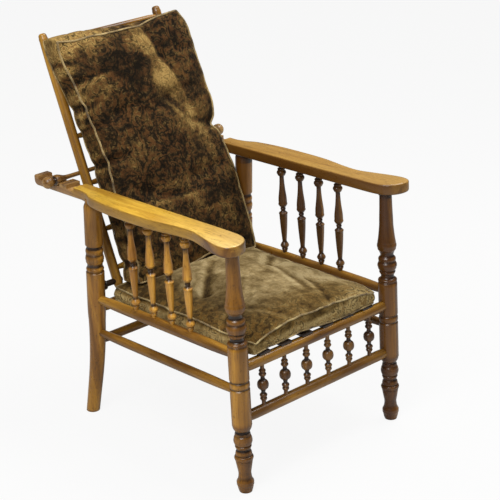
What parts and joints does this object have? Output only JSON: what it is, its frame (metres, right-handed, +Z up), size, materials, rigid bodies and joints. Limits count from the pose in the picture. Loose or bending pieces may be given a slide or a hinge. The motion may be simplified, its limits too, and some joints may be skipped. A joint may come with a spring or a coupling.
{
  "type": "reclining armchair",
  "caption": "Turned-wood reclining armchair with spindle sides, a rack-and-rod hinged back and loose velvet cushions.",
  "frame": {"origin": "on the floor, under the middle of the chair's footprint", "axes": "+Z up; the chair faces -Y, and +X is on the right of someone looking at its front"},
  "size_m": [0.626, 0.8482, 0.9994],
  "materials": {
    "turned_wood": "satin",
    "dark_wood": "satin",
    "screw_steel": "satin",
    "velvet": "matte"
  },
  "bodies": {
    "frame": {"ball_spindles": "turned_wood", "front_seat_rail": "turned_wood", "left_arm": "turned_wood", "left_arm_spindle_1": "turned_wood", "left_arm_spindle_2": "turned_wood", "left_arm_spindle_3": "turned_wood", "left_arm_spindle_4": "turned_wood", "left_front_post": "turned_wood", "left_pivot_pin": "dark_wood", "left_rack_block": "turned_wood", "left_rear_post": "turned_wood", "left_seat_rail": "turned_wood", "left_stretcher": "turned_wood", "lower_front_rail": "turned_wood", "rack_screws": "screw_steel", "rear_seat_rail": "turned_wood", "rear_stretcher": "turned_wood", "right_arm": "turned_wood", "right_arm_spindle_1": "turned_wood", "right_arm_spindle_2": "turned_wood", "right_arm_spindle_3": "turned_wood", "right_arm_spindle_4": "turned_wood", "right_front_post": "turned_wood", "right_pivot_pin": "dark_wood", "right_rack_block": "turned_wood", "right_rear_post": "turned_wood", "right_seat_rail": "turned_wood", "right_stretcher": "turned_wood", "seat_cushion": "velvet", "seat_slat_1": "dark_wood", "seat_slat_2": "dark_wood", "seat_slat_3": "dark_wood", "seat_slat_4": "dark_wood", "seat_slat_5": "dark_wood", "seat_slat_6": "dark_wood"},
    "back": {"back_cushion": "velvet", "back_rung_1": "turned_wood", "back_rung_2": "turned_wood", "back_rung_3": "turned_wood", "back_rung_4": "turned_wood", "back_rung_5": "turned_wood", "back_top_rail": "turned_wood", "left_stile": "turned_wood", "right_stile": "turned_wood"},
    "support_rod": {"support_rod": "turned_wood", "left_rod_end": "turned_wood", "right_rod_end": "turned_wood"}
  },
  "joints": [
    {"name": "back_recline", "type": "hinge", "parent": "frame", "child": "back", "pos_m": [0, 0.16158, 0.37372], "axis": [1, 0, 0], "range_deg": [0, 12]},
    {"name": "rod_lift", "type": "slide", "parent": "frame", "child": "support_rod", "axis": [0, 0.3803, 0.9248], "range_m": [0, 0.045]}
  ]
}
